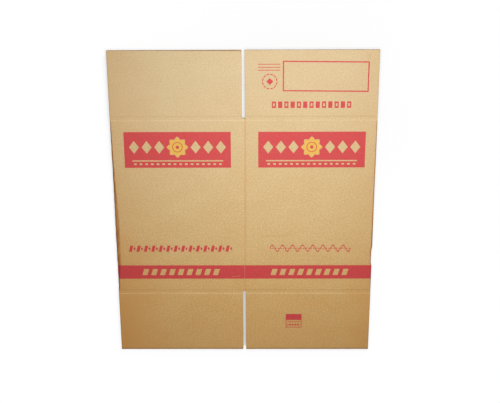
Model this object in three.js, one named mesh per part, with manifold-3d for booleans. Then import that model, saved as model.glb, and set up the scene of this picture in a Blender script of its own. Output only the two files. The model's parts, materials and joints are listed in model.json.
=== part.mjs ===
// A dish pack carton, knocked down flat as it is stored before use.
// It is one slotted blank of double-wall corrugated board, creased, folded flat along two opposite corners
// and glued into a sleeve by a tab. Two walls lie in front and two behind, and eight flaps carry on from them.
// Millimetres. +X runs across the two front walls, +Y up the carton's height, +Z out of the front face.
// The origin is under the middle of the pack, on the surface that it lies on.

import * as THREE from "three";
import { mergeVertices } from "three/addons/utils/BufferGeometryUtils.js";
import Module from "manifold-3d";

// The carton
const panelWidth = 431; // one wall of the square carton
const bodyHeight = 596; // from the top crease to the bottom crease
const slotWidth = 9.5; // slot between two neighbouring flaps
const flapInset = 1; // a flap's outer side edge lies this far inside the fold
const flapTrim = 2.5; // the top left front flap is cut this much short at its slot side
const flapCornerRadius = 4; // and its corner there is worn round

// The board: three liners with a coarse and a fine fluted medium between them
const linerThickness = 0.5;
const mediumThickness = 0.35;
const coarseFluteHeight = 3.2;
const coarseFlutePitch = 14;
const fineFluteHeight = 2.3;
const fineFlutePitch = 11.2;
const glueLine = 0.05; // between a flute's tip and the liner that it is stuck to

// Creases, folds and the glued joint
const creaseWidth = 13.5; // the crushed band, half on the wall and half on the flap
const creaseDepth = 0.8; // how far each face of the board is pressed in there
const creaseRamp = 1.6; // from full thickness down to the crushed band
const cornerCreaseWidth = 6; // the upright crease between the two front walls
const cornerCreaseDepth = 0.6;
const cornerCreaseShift = 3.5; // it lies nearer the slot's right side than its left
const foldGap = 4; // between the front and the back layer
const hingeGap = 0.6; // running clearance between a wall and its flap
const tabWidth = 38; // glue tab, crushed thin, inside the back layer
const tabThickness = 3.2;
const tabSetback = 3; // the tab stops this far short of the creases
const tabTaper = 14; // and is cut back further at its free edge
const jointGap = 2.5; // between the last wall's cut edge and the tab's crease

// Print, as thin inlays that end flush with the liner
const inkThickness = 0.2;
const inkSeat = 0.05; // between an inlay and its recess
const bandHeight = 48.5; // the band that runs round all four walls
const bandAboveCrease = 47;
const slashCount = 9; // bare slanted strokes in the band, on each front wall
const slashMargin = 80.5; // from the wall's upright creases to the row of strokes
const slashGap = 13;
const slashHeight = 22;
const slashLean = 7;
const fieldHeight = 118.5; // the solid field at the top of each front wall
const fieldBelowCrease = 43.5;
const fieldMargin = 42; // from the field to the wall's upright creases
const leftFieldShift = 1; // how far the print has drifted towards +X
const rightFieldShift = 5.5;
const lozengeCount = 3; // bare lozenges in the field, on each side of the rosette
const lozengeHeight = 44;
const lozengeGap = 7;
const ornamentMargin = 15.5; // from the last lozenge to the field's side
const ornamentRise = 9; // lozenges and rosette sit this far above the field's middle
const rosetteRadius = 33;
const rosetteWaist = 0.72; // radius between two petals, as a share of the rosette's own
const rosettePetals = 8;
const rosetteClearance = 9; // from the rosette to the nearest lozenge
const ruleMargin = 25.5; // from the bare rule under the lozenges to the field's sides
const ruleHeight = 4;
const ruleRise = 21; // above the field's lower edge
const frameWidth = 273; // write-in frame on a top flap
const frameHeight = 96;
const frameLine = 4;
const frameEndMargin = 34.5; // from the frame to the flap's free end
const frameSideMargin = 31.5; // from the frame to the flap's outer side edge
const markWidth = 54.5; // block and box printed on a bottom flap
const markBlockHeight = 20.5;
const markBoxHeight = 30;
const markLine = 2.5;
const markFromCrease = 83;
const markShift = 48; // the mark's centre from the flap's own centre line, towards the slot

const boardThickness = 3 * linerThickness + coarseFluteHeight + fineFluteHeight;
const packThickness = 2 * boardThickness + foldGap;
const flapLength = panelWidth / 2; // opposite flaps meet in the middle of the carton
const flapWidth = panelWidth - flapInset - slotWidth / 2;
const flapCentre = slotWidth / 2 + flapWidth / 2;
const crushed = creaseWidth / 2; // from a crease's middle to the end of its crushed band
const uncrushed = crushed + creaseRamp; // and to the board's full thickness
const recessDepth = inkThickness + inkSeat;
const foldSegments = 10; // facets round one folded edge
const cornerSegments = 4;
const past = 1; // how far a cutter reaches beyond what it cuts

const wasm = await Module();
wasm.setup();

// Solids and geometries

function solidFrom(geometry) {
  const bare = new THREE.BufferGeometry().setAttribute("position", geometry.getAttribute("position"));
  const merged = mergeVertices(bare, 1e-4);
  return new wasm.Manifold(
    new wasm.Mesh({
      numProp: 3,
      vertProperties: merged.getAttribute("position").array,
      triVerts: new Uint32Array(merged.index.array),
    }),
  );
}

function geometryFrom(solid) {
  const mesh = solid.getMesh();
  const geometry = new THREE.BufferGeometry();
  geometry.setAttribute("position", new THREE.BufferAttribute(mesh.vertProperties, mesh.numProp));
  geometry.setIndex(new THREE.BufferAttribute(mesh.triVerts, 1));
  const faceted = geometry.toNonIndexed();
  faceted.computeVertexNormals();
  return faceted;
}

function extruded(shape, depth) {
  return new THREE.ExtrudeGeometry(shape, { depth, bevelEnabled: false, curveSegments: foldSegments });
}

// A section drawn in x and z, pushed along y.
function alongY(shape, from, to) {
  const geometry = extruded(shape, to - from);
  geometry.applyMatrix4(
    new THREE.Matrix4().makeBasis(
      new THREE.Vector3(1, 0, 0),
      new THREE.Vector3(0, 0, 1),
      new THREE.Vector3(0, -1, 0),
    ),
  );
  return solidFrom(geometry.translate(0, to, 0));
}

// A profile drawn in y and z, pushed along x.
function alongX(shape, from, to) {
  const geometry = extruded(shape, to - from);
  geometry.applyMatrix4(
    new THREE.Matrix4().makeBasis(
      new THREE.Vector3(0, 1, 0),
      new THREE.Vector3(0, 0, 1),
      new THREE.Vector3(1, 0, 0),
    ),
  );
  return solidFrom(geometry.translate(from, 0, 0));
}

// A plan drawn in x and y, pushed along z.
function alongZ(shape, from, to) {
  return solidFrom(extruded(shape, to - from).translate(0, 0, from));
}

function outline(points) {
  return new THREE.Shape(points.map(([across, up]) => new THREE.Vector2(across, up)));
}

function rectangle(left, right, low, high) {
  return outline([
    [left, low],
    [right, low],
    [right, high],
    [left, high],
  ]);
}

// The sleeve

// The flattened tube's section: two straight sides and a half-round fold at each end, set in by a margin.
function flattenedTube(inset) {
  const radius = packThickness / 2 - inset;
  const foldCentre = panelWidth - packThickness / 2;
  const shape = new THREE.Shape();
  shape.absarc(foldCentre, packThickness / 2, radius, -Math.PI / 2, Math.PI / 2, false);
  shape.absarc(-foldCentre, packThickness / 2, radius, Math.PI / 2, (3 * Math.PI) / 2, false);
  shape.closePath();
  return shape;
}

// Side profile of the pack, from crease to crease, with both outer faces pressed in at each end.
function creasedEnvelope() {
  const end = bodyHeight / 2 - hingeGap / 2;
  const bandEdge = bodyHeight / 2 - crushed;
  const full = bodyHeight / 2 - uncrushed;
  const top = packThickness;
  return outline([
    [-end, creaseDepth],
    [-bandEdge, creaseDepth],
    [-full, 0],
    [full, 0],
    [bandEdge, creaseDepth],
    [end, creaseDepth],
    [end, top - creaseDepth],
    [bandEdge, top - creaseDepth],
    [full, top],
    [-full, top],
    [-bandEdge, top - creaseDepth],
    [-end, top - creaseDepth],
  ]);
}

// What the creasing presses out of the inner faces at one end: end is 1 at the top and -1 at the bottom.
function innerCreaseRelief(end) {
  const bandEdge = bodyHeight / 2 - crushed;
  const full = bodyHeight / 2 - uncrushed;
  const beyond = bodyHeight / 2 + past;
  const low = boardThickness;
  const high = boardThickness + foldGap;
  const profile = outline([
    [end * full, low],
    [end * bandEdge, low - creaseDepth],
    [end * beyond, low - creaseDepth],
    [end * beyond, high + creaseDepth],
    [end * bandEdge, high + creaseDepth],
    [end * full, high],
  ]);
  const flat = panelWidth - packThickness / 2;
  return alongX(profile, -flat, flat);
}

// The tab carries on from the right back wall, steps inwards past the joint and is glued inside the left one.
function glueTab() {
  const seated = boardThickness - linerThickness / 2; // sunk into the liner, as the two are one piece there
  const top = boardThickness + tabThickness;
  const step = 2 * tabThickness;
  const section = outline([
    [-tabWidth, seated],
    [step, seated],
    [step, boardThickness],
    [0, top],
    [-tabWidth, top],
  ]);
  const root = bodyHeight / 2 - uncrushed - tabSetback;
  const tip = root - tabTaper;
  const plan = outline([
    [-tabWidth - past, -tip],
    [0, -root],
    [step + past, -root],
    [step + past, root],
    [0, root],
    [-tabWidth - past, tip],
  ]);
  return alongY(section, -root, root).intersect(alongZ(plan, 0, packThickness));
}

function sleeve() {
  const end = bodyHeight / 2 + past;
  const side = panelWidth + past;
  const tube = alongY(flattenedTube(0), -end, end).subtract(
    alongY(flattenedTube(boardThickness), -end - past, end + past),
  );
  const cornerCrease = outline([
    [cornerCreaseShift - cornerCreaseWidth / 2, packThickness],
    [cornerCreaseShift, packThickness - cornerCreaseDepth],
    [cornerCreaseShift + cornerCreaseWidth / 2, packThickness],
    [cornerCreaseShift, packThickness + past],
  ]);
  const joint = rectangle(-jointGap, 0, -past, boardThickness + linerThickness);
  const bandBlock = alongY(rectangle(-side, side, -past, packThickness + past), bandLow, bandHigh);
  const bandRecess = bandBlock.subtract(alongY(flattenedTube(recessDepth), bandLow - past, bandHigh + past));
  let solid = tube
    .intersect(alongX(creasedEnvelope(), -side, side))
    .subtract(innerCreaseRelief(1))
    .subtract(innerCreaseRelief(-1))
    .subtract(alongY(cornerCrease, -end, end))
    .subtract(alongY(joint, -end, end))
    .add(glueTab())
    .subtract(bandRecess);
  for (const wall of frontWalls)
    solid = solid.subtract(alongZ(fieldOutline(wall, inkSeat), packThickness - recessDepth, packThickness + past));
  return solid;
}

// The flaps. Each is drawn with its crease along x at y = 0, its free end at +y and its outer face up.

// Side profile: crushed shut at the crease, then three liners that run out to the cut end.
function flapProfile() {
  const root = uncrushed + linerThickness;
  const middle = linerThickness + coarseFluteHeight;
  const outer = middle + linerThickness + fineFluteHeight;
  return outline([
    [hingeGap / 2, creaseDepth],
    [crushed, creaseDepth],
    [uncrushed, 0],
    [flapLength, 0],
    [flapLength, linerThickness],
    [root, linerThickness],
    [root, middle],
    [flapLength, middle],
    [flapLength, middle + linerThickness],
    [root, middle + linerThickness],
    [root, outer],
    [flapLength, outer],
    [flapLength, boardThickness],
    [uncrushed, boardThickness],
    [crushed, boardThickness - creaseDepth],
    [hingeGap / 2, boardThickness - creaseDepth],
  ]);
}

// One fluted medium across the flap, as a zigzag strip between two liners.
function flutedMedium(base, height, pitch) {
  const halfWaves = Math.round(flapWidth / (pitch / 2));
  const step = flapWidth / halfWaves;
  const steepness = Math.hypot(step, height) / step;
  const halfStrip = (mediumThickness * steepness) / 2;
  const upper = [];
  const lower = [];
  for (let i = 0; i <= halfWaves; i++) {
    const across = -flapWidth / 2 + i * step;
    const middle = i % 2 ? base + height - halfStrip - glueLine : base + halfStrip + glueLine;
    upper.unshift([across, middle + halfStrip]);
    lower.push([across, middle - halfStrip]);
  }
  const rooted = crushed + creaseRamp / 2; // its end is held in the crushed board
  return alongY(outline([...lower, ...upper]), rooted, flapLength);
}

function flap() {
  return alongX(flapProfile(), -flapWidth / 2, flapWidth / 2)
    .add(flutedMedium(linerThickness, coarseFluteHeight, coarseFlutePitch))
    .add(flutedMedium(2 * linerThickness + coarseFluteHeight, fineFluteHeight, fineFlutePitch));
}

// The same flap with its free end cut a little askew and one corner worn round.
function trimmedFlap() {
  const side = flapWidth / 2;
  const end = flapLength - flapTrim;
  const round = flapCornerRadius;
  const plan = new THREE.Shape();
  plan.moveTo(-side - past, 0);
  plan.lineTo(side, 0);
  plan.lineTo(side, end - round);
  for (let i = 1; i <= cornerSegments; i++) {
    const turn = (i / cornerSegments) * (Math.PI / 2);
    plan.lineTo(side - round + round * Math.cos(turn), end - round + round * Math.sin(turn));
  }
  plan.lineTo(-side, flapLength);
  plan.lineTo(-side - past, flapLength);
  plan.closePath();
  return flap().intersect(alongZ(plan, -past, boardThickness + past));
}

// Print

const frontWalls = [
  { name: "left", side: -1, shift: leftFieldShift },
  { name: "right", side: 1, shift: rightFieldShift },
];
const bandLow = -bodyHeight / 2 + bandAboveCrease;
const bandHigh = bandLow + bandHeight;
const fieldHigh = bodyHeight / 2 - fieldBelowCrease;
const fieldLow = fieldHigh - fieldHeight;
const fieldHalf = panelWidth / 2 - fieldMargin;
const ornamentLine = (fieldLow + fieldHigh) / 2 + ornamentRise;
const lozengeStart = rosetteRadius + rosetteClearance; // from the field's centre
const lozengePitch = (fieldHalf - ornamentMargin - lozengeStart + lozengeGap) / lozengeCount;
const lozengeWidth = lozengePitch - lozengeGap;
const slashPitch = (panelWidth - 2 * slashMargin) / slashCount;
const slashWidth = slashPitch - slashGap;

const fieldCentre = (wall) => wall.side * (panelWidth / 2) + wall.shift;

function slash(centre) {
  const half = slashWidth / 2;
  const middle = (bandLow + bandHigh) / 2;
  return outline([
    [centre - half - slashLean / 2, middle - slashHeight / 2],
    [centre + half - slashLean / 2, middle - slashHeight / 2],
    [centre + half + slashLean / 2, middle + slashHeight / 2],
    [centre - half + slashLean / 2, middle + slashHeight / 2],
  ]);
}

// A ring of ink round the whole sleeve, left bare where the slanted strokes are.
function printBand() {
  const low = bandLow + inkSeat;
  const high = bandHigh - inkSeat;
  const inner = alongY(flattenedTube(inkThickness), low - past, high + past);
  let ring = alongY(flattenedTube(0), low, high).subtract(inner);
  for (const wall of frontWalls)
    for (let i = 0; i < slashCount; i++) {
      const centre = fieldCentre(wall) + (i - (slashCount - 1) / 2) * slashPitch;
      ring = ring.subtract(alongZ(slash(centre), packThickness - recessDepth, packThickness + past));
    }
  return ring;
}

// The field's rectangle, grown by a margin on every side.
function fieldOutline(wall, margin) {
  const half = fieldHalf + margin;
  return rectangle(fieldCentre(wall) - half, fieldCentre(wall) + half, fieldLow - margin, fieldHigh + margin);
}

// Petals as alternate long and short radii, grown by a margin.
function rosetteOutline(wall, margin) {
  const points = [];
  for (let i = 0; i < 2 * rosettePetals; i++) {
    const radius = rosetteRadius * (i % 2 ? rosetteWaist : 1) + margin;
    const turn = (i / rosettePetals) * Math.PI;
    points.push([fieldCentre(wall) + radius * Math.sin(turn), ornamentLine + radius * Math.cos(turn)]);
  }
  return outline(points.reverse());
}

function lozenge(centre) {
  return outline([
    [centre - lozengeWidth / 2, ornamentLine],
    [centre, ornamentLine - lozengeHeight / 2],
    [centre + lozengeWidth / 2, ornamentLine],
    [centre, ornamentLine + lozengeHeight / 2],
  ]);
}

// The field with its bare shapes: lozenges, a rule and the rosette's own place.
function printField(wall) {
  const shape = fieldOutline(wall, 0);
  for (const side of [-1, 1])
    for (let i = 0; i < lozengeCount; i++)
      shape.holes.push(lozenge(fieldCentre(wall) + side * (lozengeStart + lozengeWidth / 2 + i * lozengePitch)));
  const ruleLow = fieldLow + ruleRise;
  const half = fieldHalf - ruleMargin;
  shape.holes.push(rectangle(fieldCentre(wall) - half, fieldCentre(wall) + half, ruleLow, ruleLow + ruleHeight));
  shape.holes.push(rosetteOutline(wall, inkSeat));
  return alongZ(shape, packThickness - inkThickness, packThickness);
}

// The write-in frame in a flap's own frame, grown by a margin on every side of its line.
function frameOutline(margin) {
  const right = flapWidth / 2 - frameSideMargin;
  const left = right - frameWidth;
  const high = flapLength - frameEndMargin;
  const low = high - frameHeight;
  const shape = rectangle(left - margin, right + margin, low - margin, high + margin);
  const inner = frameLine + margin;
  shape.holes.push(rectangle(left + inner, right - inner, low + inner, high - inner));
  return shape;
}

// A solid block over an open box, joined along one edge.
function markOutline(margin) {
  const left = markShift - markWidth / 2;
  const right = left + markWidth;
  const low = markFromCrease;
  const split = low + markBlockHeight;
  const high = split + markBoxHeight;
  const shape = rectangle(left - margin, right + margin, low - margin, high + margin);
  const inner = markLine + margin;
  shape.holes.push(rectangle(left + inner, right - inner, split + margin, high - inner));
  return shape;
}

const recessed = (outlineOf) =>
  flap().subtract(alongZ(outlineOf(inkSeat), boardThickness - recessDepth, boardThickness + past));
const inlaid = (outlineOf) => alongZ(outlineOf(0), boardThickness - inkThickness, boardThickness);

// The model

const kraft = new THREE.MeshStandardMaterial({ color: 0xd2b07a, roughness: 0.85, metalness: 0 });
const redInk = new THREE.MeshStandardMaterial({ color: 0xc4474a, roughness: 0.7, metalness: 0 });
const goldInk = new THREE.MeshStandardMaterial({ color: 0xe2b24b, roughness: 0.7, metalness: 0 });

const carton = new THREE.Group();

function addTo(group, name, solid, material) {
  const mesh = new THREE.Mesh(geometryFrom(solid), material.clone());
  mesh.name = name;
  group.add(mesh);
}

addTo(carton, "sleeve", sleeve(), kraft);
addTo(carton, "print_band", printBand(), redInk);
for (const wall of frontWalls) {
  const rosette = alongZ(rosetteOutline(wall, 0), packThickness - inkThickness, packThickness);
  addTo(carton, `print_field_${wall.name}`, printField(wall), redInk);
  addTo(carton, `print_rosette_${wall.name}`, rosette, goldInk);
}

// The flaps that differ from the plain one, and what is printed on them
const specialFlaps = {
  front_top_flap_left: { solid: trimmedFlap() },
  front_top_flap_right: { solid: recessed(frameOutline), printName: "print_frame", print: inlaid(frameOutline) },
  front_bottom_flap_right: { solid: recessed(markOutline), printName: "print_mark", print: inlaid(markOutline) },
};

// A flap's group lies on its wall's crease; a back flap is turned over, so that its outer face is down.
const plainFlap = flap();
for (const layer of ["front", "back"])
  for (const end of ["top", "bottom"])
    for (const side of ["left", "right"]) {
      const name = `${layer}_${end}_flap_${side}`;
      const group = new THREE.Group();
      group.position.set(
        side === "left" ? -flapCentre : flapCentre,
        end === "top" ? bodyHeight / 2 : -bodyHeight / 2,
        layer === "front" ? packThickness - boardThickness : boardThickness,
      );
      if (layer === "front" && end === "bottom") group.rotation.z = Math.PI;
      if (layer === "back" && end === "top") group.rotation.y = Math.PI;
      if (layer === "back" && end === "bottom") group.rotation.x = Math.PI;
      const special = specialFlaps[name];
      addTo(group, name, special ? special.solid : plainFlap, kraft);
      if (special?.print) addTo(group, special.printName, special.print, redInk);
      carton.add(group);
    }

export default carton;
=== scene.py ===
# A dish pack carton, knocked down flat: its looks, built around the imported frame.
# Settings are in millimetres and degrees, the meshes in metres.

import json
import math

import bmesh
import bpy
import numpy as np
from mathutils import Matrix, Vector


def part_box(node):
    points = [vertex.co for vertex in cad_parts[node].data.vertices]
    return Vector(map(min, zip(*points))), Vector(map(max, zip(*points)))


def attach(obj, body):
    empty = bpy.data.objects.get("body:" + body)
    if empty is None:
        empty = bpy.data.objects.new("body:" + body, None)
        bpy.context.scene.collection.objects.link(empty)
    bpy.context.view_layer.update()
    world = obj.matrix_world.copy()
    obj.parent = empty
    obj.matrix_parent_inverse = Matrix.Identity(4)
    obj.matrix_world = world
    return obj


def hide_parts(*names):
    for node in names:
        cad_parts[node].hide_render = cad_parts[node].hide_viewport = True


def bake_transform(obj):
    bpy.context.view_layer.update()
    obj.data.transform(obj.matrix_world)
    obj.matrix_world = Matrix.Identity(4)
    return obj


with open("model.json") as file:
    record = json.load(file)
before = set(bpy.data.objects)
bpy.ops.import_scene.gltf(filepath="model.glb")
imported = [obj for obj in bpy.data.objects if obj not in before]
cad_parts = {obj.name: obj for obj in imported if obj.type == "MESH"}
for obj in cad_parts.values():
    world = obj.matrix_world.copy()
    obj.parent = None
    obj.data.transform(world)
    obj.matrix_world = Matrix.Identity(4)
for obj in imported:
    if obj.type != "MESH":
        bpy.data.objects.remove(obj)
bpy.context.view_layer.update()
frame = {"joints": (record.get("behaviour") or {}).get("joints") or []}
print("frame loaded")

mm = 0.001
scene = bpy.context.scene
scene.view_settings.view_transform = "Standard"

# The camera stands over the top end and looks down on the pack.
cameraSettings = {
    "place": (40.4, 693.5, 2438.0),
    "right": (0.99997, -0.00378, -0.00725),
    "up": (0.00170, 0.96353, -0.26761),
    "lens": 54.72,
    "sensor": 36.0,
}


def makeCamera(s):
    data = bpy.data.cameras.new("camera")
    data.lens = s["lens"]
    data.sensor_width = s["sensor"]
    camera = bpy.data.objects.new("camera", data)
    right = Vector(s["right"]).normalized()
    back = right.cross(Vector(s["up"])).normalized()
    up = back.cross(right)
    turn = Matrix((right, up, back)).transposed().to_4x4()
    camera.matrix_world = Matrix.Translation(Vector(s["place"]) * mm) @ turn
    scene.collection.objects.link(camera)
    scene.camera = camera


makeCamera(cameraSettings)


def corners(node):  # a CAD node's lowest and highest corners, in millimetres
    low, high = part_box(node)
    return low / mm, high / mm


sleeveHigh = corners("sleeve")[1]
flapLow, flapHigh = corners("front_top_flap_right")
bandLow, bandHigh = corners("print_band")
frameLow, frameHigh = corners("print_frame")
markLow, markHigh = corners("print_mark")
fieldLow, fieldHigh = corners("print_field_left")
farFieldLow, farFieldHigh = corners("print_field_right")
rosetteLow, rosetteHigh = corners("print_rosette_left")
topJoint = next(joint for joint in frame["joints"] if joint["name"] == "front_top_right_crease")
topCrease = topJoint["pos_m"][1] / mm

carton = {
    "half": sleeveHigh.x,
    "pack": sleeveHigh.z,  # thickness of the two layers and the gap between them
    "board": flapHigh.z - flapLow.z,
    "crease": topCrease,  # from the middle of the body to a flap's crease
    "slotSide": flapLow.x,
    "outerSide": flapHigh.x,
    "flapLength": flapHigh.y - topCrease,
    "creaseHalf": 6.75,
    "creaseRamp": 1.6,
    "creaseDepth": 0.6,
    "creaseRest": 0.3,  # how far the wall lies under the liner in the crease
    "liner": 0.5,
    "fineFlute": 6.4,  # pitch of the flutes under the outer liner
}


# Node graphs. A Value is one socket, and an expression on values adds the Math nodes it needs.
class Value:
    def __init__(self, graph, socket):
        self.graph = graph
        self.socket = socket

    def maths(self, operation, *others, clamp=False):
        settings = {"operation": operation, "use_clamp": clamp}
        return self.graph.out(self.graph.add("ShaderNodeMath", settings, dict(enumerate((self,) + others))))

    def __add__(self, other):
        return self.maths("ADD", other)

    def __radd__(self, other):
        return self.maths("ADD", other)

    def __sub__(self, other):
        return self.maths("SUBTRACT", other)

    def __rsub__(self, other):
        return self.maths("MULTIPLY_ADD", -1.0, other)

    def __mul__(self, other):
        return self.maths("MULTIPLY", other)

    def __rmul__(self, other):
        return self.maths("MULTIPLY", other)

    def __truediv__(self, other):
        return self.maths("DIVIDE", other)

    def __mod__(self, other):
        return self.maths("FLOORED_MODULO", other)

    def __gt__(self, other):
        return self.maths("GREATER_THAN", other)

    def __abs__(self):
        return self.maths("ABSOLUTE")

    def sine(self):
        return self.maths("SINE")

    def root(self):
        return self.maths("SQRT")

    def clip(self):
        return self.maths("ADD", 0.0, clamp=True)

    def orElse(self, other):  # the larger of two masks
        return self.maths("MAXIMUM", other)


class Graph:
    def __init__(self, tree):
        self.nodes = tree.nodes
        self.links = tree.links
        self.nodes.clear()

    # Any node: its type, its settings, then the values or links of its sockets.
    def add(self, kind, settings=None, inputs=None):
        node = self.nodes.new(kind)
        for name, setting in (settings or {}).items():
            setattr(node, name, setting)
        for name, given in (inputs or {}).items():
            if isinstance(given, Value):
                self.links.new(given.socket, node.inputs[name])
            else:
                node.inputs[name].default_value = given
        return node

    def out(self, node, name=0):
        return Value(self, node.outputs[name])

    def made(self, kind, settings=None, inputs=None):  # a node's first output
        return self.out(self.add(kind, settings, inputs))

    def apart(self, vector):
        node = self.add("ShaderNodeSeparateXYZ", {}, {0: vector})
        return [self.out(node, axis) for axis in range(3)]


inkSoft = 0.6  # millimetres over which an inked edge ends


class Shader(Graph):
    def __init__(self, name):
        self.material = bpy.data.materials.new(name)
        self.material.use_nodes = True
        super().__init__(self.material.node_tree)

    def attribute(self, name, output):
        settings = {"attribute_type": "GEOMETRY", "attribute_name": name}
        return self.out(self.add("ShaderNodeAttribute", settings), output)

    # Noise about as wide as size, drawn out along the axes whose stretch is small.
    def noise(self, place, size, detail=2.0, stretch=(1, 1, 1), rough=0.5):
        scaled = self.made("ShaderNodeMapping", {}, {"Vector": place, "Scale": stretch})
        inputs = {"Vector": scaled, "Scale": 1 / (size * mm), "Detail": detail, "Roughness": rough}
        return self.made("ShaderNodeTexNoise", {}, inputs)

    def ramp(self, value, start, end):  # 0 at start, 1 at end
        return ((value - start) / (end - start)).clip()

    def fade(self, value, start, end, amount):
        return self.ramp(value, start, end) * amount

    # The shapes below are masks, 1 inside them and 0 outside.
    def upTo(self, value, limit, soft=inkSoft):
        return ((limit - value) / soft + 0.5).clip()

    def within(self, value, low, high, soft=inkSoft):
        return self.upTo(abs(value - (low + high) / 2), (high - low) / 2, soft)

    def box(self, x, y, low, high, setIn=0.0):
        inside = self.within(x, low.x + setIn, high.x - setIn)
        return inside * self.within(y, low.y + setIn, high.y - setIn)

    def hollowBox(self, x, y, low, high, line):
        return self.box(x, y, low, high) * (1 - self.box(x, y, low, high, line))

    def lozenge(self, x, y, halfWidth, halfHeight, sharp):
        return ((1 - abs(x) / halfWidth - abs(y) / halfHeight) * sharp).clip()

    def distance(self, x, y):
        return (x * x + y * y).root()

    def sector(self, x, y, count):  # how far round one of count equal sectors, from 0 to 1
        return (x.maths("ARCTAN2", y) * (count / (2 * math.pi))) % 1.0

    def mix(self, factor, first, second):
        inputs = {0: factor, 6: first, 7: second}
        return self.out(self.add("ShaderNodeMix", {"data_type": "RGBA"}, inputs), 2)

    def shade(self, colour, amount):  # a colour times a number
        return self.made("ShaderNodeVectorMath", {"operation": "SCALE"}, {0: colour, "Scale": amount})

    def finish(self, colour, fibre, height, look):
        bump = self.made("ShaderNodeBump", {}, {"Height": height, "Distance": look["bump"] * mm})
        rough = look["rough"] + fibre * look["spread"]
        inputs = {"Base Color": colour, "Roughness": rough, "Normal": bump}
        surface = self.made("ShaderNodeBsdfPrincipled", {}, inputs)
        self.add("ShaderNodeOutputMaterial", {}, {"Surface": surface})


# A shader that knows where each point lies on the flat carton, in every pose.
class BoardShader(Shader):
    def __init__(self, name):
        super().__init__(name)
        self.place = self.attribute("lie", "Vector")
        self.x, self.y, self.z = [axis / mm for axis in self.apart(self.place)]


def linear(red, green, blue):  # from the colour as a picture shows it, by the sRGB curve
    def channel(level):
        return level / 12.92 if level <= 0.04045 else ((level + 0.055) / 1.055) ** 2.4
    return (channel(red / 255), channel(green / 255), channel(blue / 255), 1.0)


kraftSettings = {
    "liner": linear(209, 168, 103),
    "light": linear(222, 190, 132),
    # painted sheen: the top end's paler, whiter look under the light
    "pale": linear(208, 197, 168),
    "dark": linear(176, 133, 82),
    # used for the painted shade low down and at the sides, and for the stain on the middle crease
    "warm": linear(210, 149, 76),
    "inner": linear(198, 160, 110),
    "cut": linear(150, 109, 68),
    "medium": linear(168, 127, 83),
    # painted shade on the rounded folds, lighter in their wrinkles
    "foldShade": linear(178, 108, 46),
    "foldPale": linear(204, 144, 78),
    # the pale line under each crease: painted highlight and rubbing
    "rubbedAndLit": linear(238, 222, 186),
    # noises in the paper, and how much each one shows
    "fibre": {"size": 3.2, "detail": 3, "stretch": (0.25, 1, 1), "rough": 0.6},
    "cloud": {"size": 46, "detail": 4, "stretch": (0.55, 1, 1), "rough": 0.55},
    "grain": {"size": 4.4, "detail": 3, "stretch": (0.8, 1, 1), "rough": 0.75},
    "speck": {"size": 2.2, "detail": 1},
    "cloudLight": (0.3, 0.72, 0.35),  # start, end, amount
    "grainLight": (0.5, 0.75, 0.3),
    "speckDark": (0.70, 0.78, 0.35),
    "tone": {"fibre": 0.12, "grain": 1.1, "flutes": 0.012},
    "relief": {"fibre": 0.5, "grain": 0.35, "flutes": 0.3},
    "innerStrength": 0.45,
    "outerLook": {"rough": 0.56, "spread": 0.2, "bump": 0.14},
    "innerLook": {"rough": 0.74, "spread": 0.2, "bump": 0.12},
    # torn edges of liners, and the fluting paper
    "torn": {"size": 1.4, "detail": 3, "stretch": (1, 1, 0.4), "rough": 0.7},
    "tornPale": (0.35, 0.7),
    "cutLook": {"rough": 0.86, "spread": 0.1, "bump": 0.25},
    "mediumFibre": {"size": 2.4, "detail": 3, "stretch": (1, 0.4, 1), "rough": 0.6},
    "mediumTone": (0.8, 0.4),
    "mediumLook": {"rough": 0.82, "spread": 0.12, "bump": 0.1},
}


# Bare board: liner colour with fibres, cloudy patches, specks and faint washboard lines.
def bareBoard(sh, base, s, strength=1.0):
    sh.fibre = sh.noise(sh.place, **s["fibre"])
    sh.cloud = sh.noise(sh.place, **s["cloud"])
    sh.grain = sh.noise(sh.place, **s["grain"])
    speck = sh.noise(sh.place, **s["speck"])
    flutes = (sh.x * (2 * math.pi / carton["fineFlute"])).sine()
    tone = s["tone"]
    uneven = (sh.fibre - 0.5) * tone["fibre"] + (sh.grain - 0.5) * tone["grain"] + flutes * tone["flutes"]
    colour = sh.mix(sh.fade(sh.cloud, *s["cloudLight"]) * strength, base, s["light"])
    colour = sh.mix(sh.fade(sh.grain, *s["grainLight"]) * strength, colour, s["light"])
    colour = sh.mix(sh.fade(speck, *s["speckDark"]), sh.shade(colour, 1 + uneven * strength), s["dark"])
    relief = s["relief"]
    height = sh.fibre * relief["fibre"] + sh.grain * relief["grain"] + flutes * relief["flutes"]
    return colour, height


def makeInnerLiner(s):
    sh = BoardShader("innerLiner")
    colour, height = bareBoard(sh, s["inner"], s, s["innerStrength"])
    sh.finish(colour, sh.fibre, height, s["innerLook"])
    return sh.material


# The cut edge of a liner: torn fibres, browner than the face.
def makeCutEdge(s):
    sh = BoardShader("cutEdge")
    torn = sh.noise(sh.place, **s["torn"])
    colour = sh.mix(sh.ramp(torn, *s["tornPale"]), s["cut"], s["inner"])
    sh.finish(colour, torn, torn, s["cutLook"])
    return sh.material


# Fluting paper: rougher and darker than the liners.
def makeFlutingPaper(s):
    sh = BoardShader("flutingPaper")
    fibre = sh.noise(sh.place, **s["mediumFibre"])
    least, more = s["mediumTone"]
    sh.finish(sh.shade(s["medium"][:3], least + fibre * more), fibre, fibre, s["mediumLook"])
    return sh.material


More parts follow.
